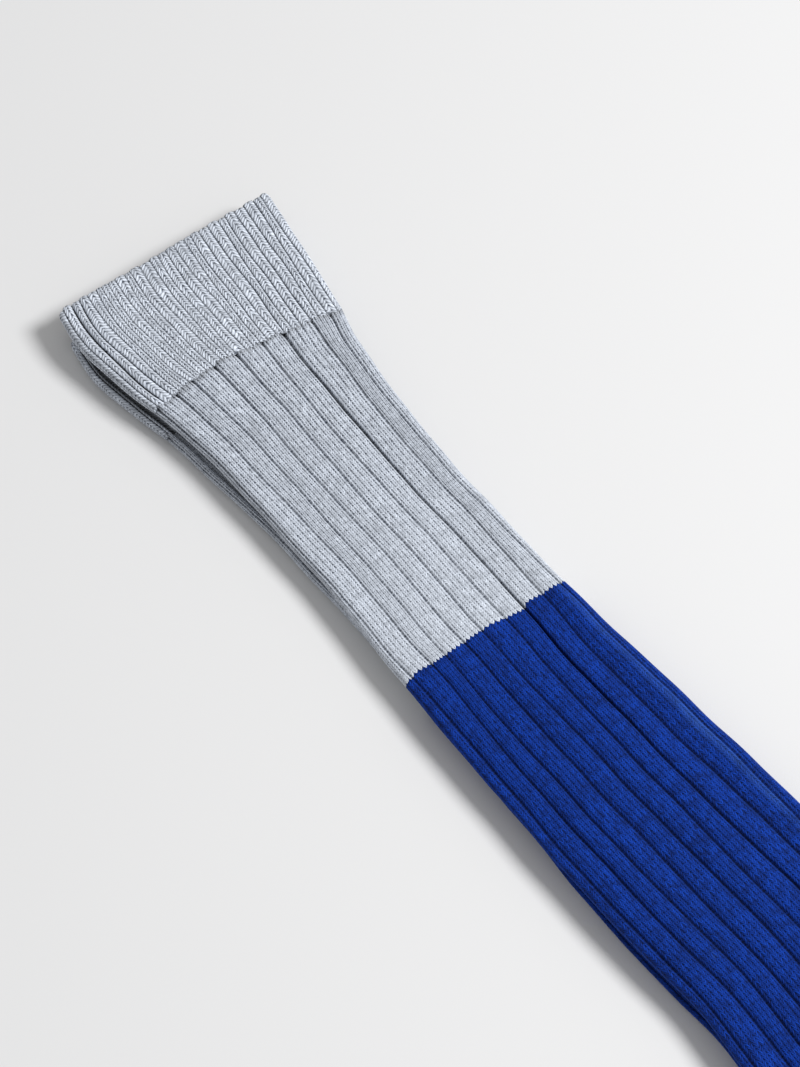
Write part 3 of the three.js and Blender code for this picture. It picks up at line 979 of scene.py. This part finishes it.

# %% [markdown]
# ## The yarn's colour
# The holes, lines and gaps get painted shade from the stitch's height, and the furrows get painted shade
# from the attribute "sunk". Spun yarn is never even: each ply, each stitch and each fibre has its own
# slight shade, and the arms of each V get a painted highlight. Where the surface turns away, a painted
# sheen stands for loose fibre catching the light as a pale haze, and on the blue leg a broad soft painted
# highlight runs down one rib.

# %% Marl, painted shade, painted sheen and painted highlights
MARL_AND_HIGHLIGHT = {"ply": 3.0, "stitch": 1.3, "fibre": 1.8, "patch": 0.5, "arm_highlight": 0.9}
ARM_HIGHLIGHT_MEAN = 0.35


def yarn_colour(r, yarn, at, height, ply, fibre):
    patch = r.noise(at["where"], 60.0, 3.0)
    # Painted highlight: the arms of each V are made lighter than the middle and the gaps, and this is
    # mixed in with the marl.
    arm_highlight = at["wave"] * at["wave"] * (1.0 - at["middle"])
    marl_and_highlight = (ply - 0.5) * MARL_AND_HIGHLIGHT["ply"] + (at["own"] - 0.5) * MARL_AND_HIGHLIGHT["stitch"]
    marl_and_highlight = marl_and_highlight + (fibre - 0.5) * MARL_AND_HIGHLIGHT["fibre"] + (patch - 0.5) * MARL_AND_HIGHLIGHT["patch"]
    marl_and_highlight = marl_and_highlight + (arm_highlight - ARM_HIGHLIGHT_MEAN) * MARL_AND_HIGHLIGHT["arm_highlight"]
    # Painted shade: the deeper a point is sunk in a furrow, or in the channel beside the upper sock, the
    # darker its colour.
    sunk = r.node("ShaderNodeAttribute", {"attribute_name": "sunk"}, [], 2)
    start, full, darkest = yarn["shadow"]
    low = r.ramp(sunk, start, full, 0.0, darkest, smooth=True)
    shade = (marl_and_highlight * yarn["marl_and_highlight"] + 1.0) * (1.0 - low)
    # Painted shade: the holes, lines, gaps between rows and purl rungs take the darker colour, the crests
    # of the yarn the lighter one.
    lit = r.ramp(height, 0.0, 0.95, 0.0, 1.0, smooth=True)
    tint = r.colour_mix(lit, linear(yarn["gap_shade"]), linear(yarn["light"]))
    level = r.node("ShaderNodeCombineXYZ", {}, [shade, shade, shade])
    lit_yarn = r.colour_mix(1.0, tint, level, "MULTIPLY")
    # Painted highlight: a band down one column of the blue leg is mixed toward the pale sheen colour,
    # broken up by noise.
    column, half_width, amount = yarn["painted_highlight"]
    highlight_band = 1.0 - ((at["u"] - column) / half_width).maths("ABSOLUTE")
    painted_highlight_amount = r.ramp(highlight_band * (patch * 2.4 + ply * 1.4 - 1.2), 0.0, 1.0, 0.0, amount)
    # Painted sheen: where the surface turns away from the camera the colour is mixed toward the pale sheen
    # colour; purl columns get none.
    seen = r.node("ShaderNodeLayerWeight", {}, {"Blend": 0.5}, 1)
    painted_sheen_and_highlight = ((seen**3.0) * yarn["painted_sheen_cover"] + painted_highlight_amount) * (1.0 - at["purl"])
    return r.colour_mix(painted_sheen_and_highlight, lit_yarn, linear(yarn["sheen_colour"]))


print("marl:", MARL_AND_HIGHLIGHT)

# %% [markdown]
# ## Knit as a material
# The same height that paints shade into the holes also drives the bump, with some ply and fibre added, so
# light and colour agree. Knit has almost no gloss, only a slight sheen from its loose fibres.


# %% The knit material
def knit(name, yarn):
    r = Recipe(name)
    at = stitch_places(r, yarn)
    height = stitch_height(r, yarn, at)
    along_yarn = r.node("ShaderNodeCombineXYZ", {}, [at["u"] * 1.3, at["row"] * 2.2, 0.0])
    ply = r.noise(along_yarn, 1.7, 2.0)
    fibre = r.noise(at["where"], 1500.0, 2.0)
    relief = height + (ply - 0.5) * 0.5 + (fibre - 0.5) * 0.3
    bump = {"Strength": 1.0, "Distance": yarn["bump"] / 1000, "Height": relief}
    looks = {
        "Base Color": yarn_colour(r, yarn, at, height, ply, fibre),
        "Roughness": 0.75,
        "Normal": r.node("ShaderNodeBump", {}, bump),
        "Specular IOR Level": 0.12,
        "Sheen Weight": yarn["sheen"],
        "Sheen Tint": linear(yarn["sheen_colour"]),
        "Sheen Roughness": 0.35,
    }
    return r.finish(r.node("ShaderNodeBsdfPrincipled", {}, looks))


# %% [markdown]
# ## Three knits
# The socks have two yarns and two ribs, which makes three materials: pale wide rib, blue wide rib and pale
# single rib. "loose" is how far stitches are pushed about, across and down. The painted highlight is set
# by its column, half width and strength. A range of row numbers turns into the strength of the lines,
# which are painted shade and clearer near the cuff. "shadow" says at what depths the painted shade of a
# furrow starts and is darkest, and by how much.

# %% The yarns and their materials
NO_PAINTED_HIGHLIGHT = (0, 1, 0)
WIDE_RIB = {"period": PLAIN + 1, "slant": 1.35, "beads": 0.6, "bump": 0.5, "loose": (0.14, 1.3)}
PALE_YARN = {"gap_shade": (72, 80, 96), "sheen_colour": (222, 226, 232), "painted_sheen_cover": 0.5, "sheen": 0.1}
BLUE_YARN = {"light": (8, 50, 140), "gap_shade": (2, 11, 50), "sheen_colour": (70, 114, 205)}
pale_wide = {
    **WIDE_RIB,
    **PALE_YARN,
    "light": (202, 209, 220),
    "middle_line": 0.66,
    "edge_line": 0.6,
    "row_gap": 0.1,
    "marl_and_highlight": 0.26,
    "painted_highlight": NO_PAINTED_HIGHLIGHT,
    "line_strength_by_row": (60, 148, 1.3, 0.8),
    "shadow": (0.45, 1.7, 0.5),
}
blue_wide = {
    **WIDE_RIB,
    **BLUE_YARN,
    "painted_sheen_cover": 0.2,
    "sheen": 0.14,
    "middle_line": 0.48,
    "edge_line": 0.44,
    "row_gap": 0.14,
    "marl_and_highlight": 0.55,
    "painted_highlight": (18.9, 1.6, 0.42),
    "line_strength_by_row": (0, 1, 1.15, 1.15),
    "shadow": (0.25, 1.5, 0.4),
}
pale_single = {
    **PALE_YARN,
    "light": (206, 213, 224),
    "period": 2,
    "slant": 1.1,
    "beads": 1.0,
    "bump": 0.6,
    "loose": (0.5, 2.6),
    "middle_line": 0.32,
    "edge_line": 0.12,
    "row_gap": 0.36,
    "marl_and_highlight": 0.28,
    "painted_highlight": NO_PAINTED_HIGHLIGHT,
    "line_strength_by_row": (0, 1, 1, 1),
    "shadow": (0.6, 1.5, 0.85),
}
pale_leg = knit("pale_wide_rib", pale_wide)
blue_leg = knit("blue_wide_rib", blue_wide)
pale_cuff = knit("pale_single_rib", pale_single)

# %% [markdown]
# ## Dressing the pieces
# Each piece gets its knit, rides on the one body of the frame and takes the place of the solid
# that it was made on. The feet are in blue yarn, so they share the blue leg's material.

# %% Knit, body and solid of each piece
for node, piece in pieces.items():
    is_blue = node.endswith(("blue", "foot"))
    is_cuff = node.endswith("cuff")
    piece.data.materials.append(pale_cuff if is_cuff else blue_leg if is_blue else pale_leg)
    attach(piece, "root")
    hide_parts(node)
print(len(pieces), "pieces")

# %% [markdown]
# ## How much cloth each piece takes
# A knitter counts a tube as a flat strip: the length all round it by the length along the leg.
# The way round is two flat stretches and two half-round folds, taken at one typical place of each piece.

# %% Flat sizes
STRIP = {
    "cuff": (25, CUFF_END),
    "pale": (135, PALE_END - CUFF_END),
    "blue": (290, ANKLE - PALE_END),
}


def round_way(along, lower):
    """Length of the wall round the tube, in millimetres."""
    width = float(curve(LEG, "right", along) - curve(LEG, "left", along))
    width += 0.0 if lower else float(curve(OVERHANG, "out", along))
    thick = float(curve(LEG, "thick", along))
    return 2 * (width - thick) + math.pi * thick


def flat_size(stretch, lower):
    if stretch == "foot":
        return 2 * FOOT_WIDTH + HEEL_BULGE, HEEL_RADIUS * TURN + FOOT_LENGTH + TOE_LENGTH
    typical, length = STRIP[stretch]
    return round_way(typical, lower), length


for node, piece in pieces.items():
    lower = node.startswith("lower")
    flat = flat_size(node.split("_")[-1], lower)
    flat[0] / 1000
    flat[1] / 1000
    print(f"{node}: cloth {flat[0]:.0f} x {flat[1]:.0f} mm")

# %% [markdown]
# ## The surface
# The socks lie on a plain pale surface. It is one large plane just below them, so that no edge of
# it comes into the picture, and matt, so that the only thing on it is their shadow.

# %% A plain pale surface
SURFACE_SIZE = 6
SURFACE_BELOW = 0.0002
bpy.ops.object.select_all(action="DESELECT")
bpy.ops.mesh.primitive_plane_add(size=SURFACE_SIZE, location=(0, 0, -SURFACE_BELOW))
floor = bpy.context.object
floor.name = "plain_surface"
bpy.ops.object.transform_apply(location=True, rotation=True, scale=True)
ground = Recipe("plain_pale_surface")
paper = {"Base Color": (0.7, 0.7, 0.703, 1), "Roughness": 0.8}
floor.data.materials.append(ground.finish(ground.node("ShaderNodeBsdfPrincipled", {}, paper)))

# %% [markdown]
# ## The camera
# The camera looks down at 60 degrees, turned so that the leg runs from the upper left to the
# lower right. A camera could be set by eye, but one worked out from the picture, as a place in
# the sock's own millimetres and a focal length in pixels, puts every seam where it belongs.

# %% Camera place and lens
PICTURE_HEIGHT = 1067
FOCAL_PIXELS = 2519.0
SENSOR = 36.0
CAMERA = {"along": 544.1, "side": -284.4, "up": 836.3}
looking = Vector((-0.4024, 0.2968, -0.8660)).normalized()
rightward = Vector((0.5935, 0.8048, 0.0)).normalized()
lens = bpy.data.cameras.new("view")
lens.sensor_fit = "VERTICAL"
lens.sensor_height = SENSOR
lens.lens = FOCAL_PIXELS / PICTURE_HEIGHT * SENSOR
lens.clip_start = 0.01
view = bpy.data.objects.new("view", lens)
bpy.context.collection.objects.link(view)
turned = Matrix((rightward, rightward.cross(looking), -looking)).transposed().to_4x4()
place = Vector((CAMERA["along"] + ORIGIN_X, CAMERA["side"] + ORIGIN_Y, CAMERA["up"])) / 1000
view.matrix_world = Matrix.Translation(place) @ turned
bpy.context.scene.camera = view
print("camera at", [round(v, 3) for v in place], "lens", round(lens.lens, 1))

# %% [markdown]
# ## The lights
# One large soft light stands to the right of the picture at about 45 degrees, so the shadow falls
# to the left with a soft edge, and an even white surround fills the rest. A smaller light would
# make the stitches harder than they look on the real knit.

# %% A soft key and an even surround
LIGHT_UP = math.radians(46)
LIGHT_AWAY = 2.6
LIGHT_SIZE = 0.93
LIGHT_POWER = 72.0
SURROUND = 0.45
AIM_AHEAD = 0.957
toward = rightward * math.cos(LIGHT_UP) + Vector((0, 0, math.sin(LIGHT_UP)))
key_data = bpy.data.lights.new("soft_key", "AREA")
key_data.shape = "DISK"
key_data.size = LIGHT_SIZE
key_data.energy = LIGHT_POWER
key = bpy.data.objects.new("soft_key", key_data)
bpy.context.collection.objects.link(key)
key.location = place + looking * AIM_AHEAD + toward * LIGHT_AWAY
key.rotation_euler = (-toward).to_track_quat("-Z", "Y").to_euler()
world = bpy.data.worlds.new("even_surround")
world.use_nodes = True
world.node_tree.nodes["Background"].inputs["Color"].default_value = (1.0, 1.0, 1.0, 1.0)
world.node_tree.nodes["Background"].inputs["Strength"].default_value = SURROUND
bpy.context.scene.world = world
bpy.context.scene.view_settings.view_transform = "Standard"
print("key light at", [round(v, 2) for v in key.location])

# %% [markdown]
# ## The end
# The dressed socks should be as large as the solids, within a few millimetres. The last step brings the
# scene up to date.

# %% Finish
bpy.context.view_layer.update()
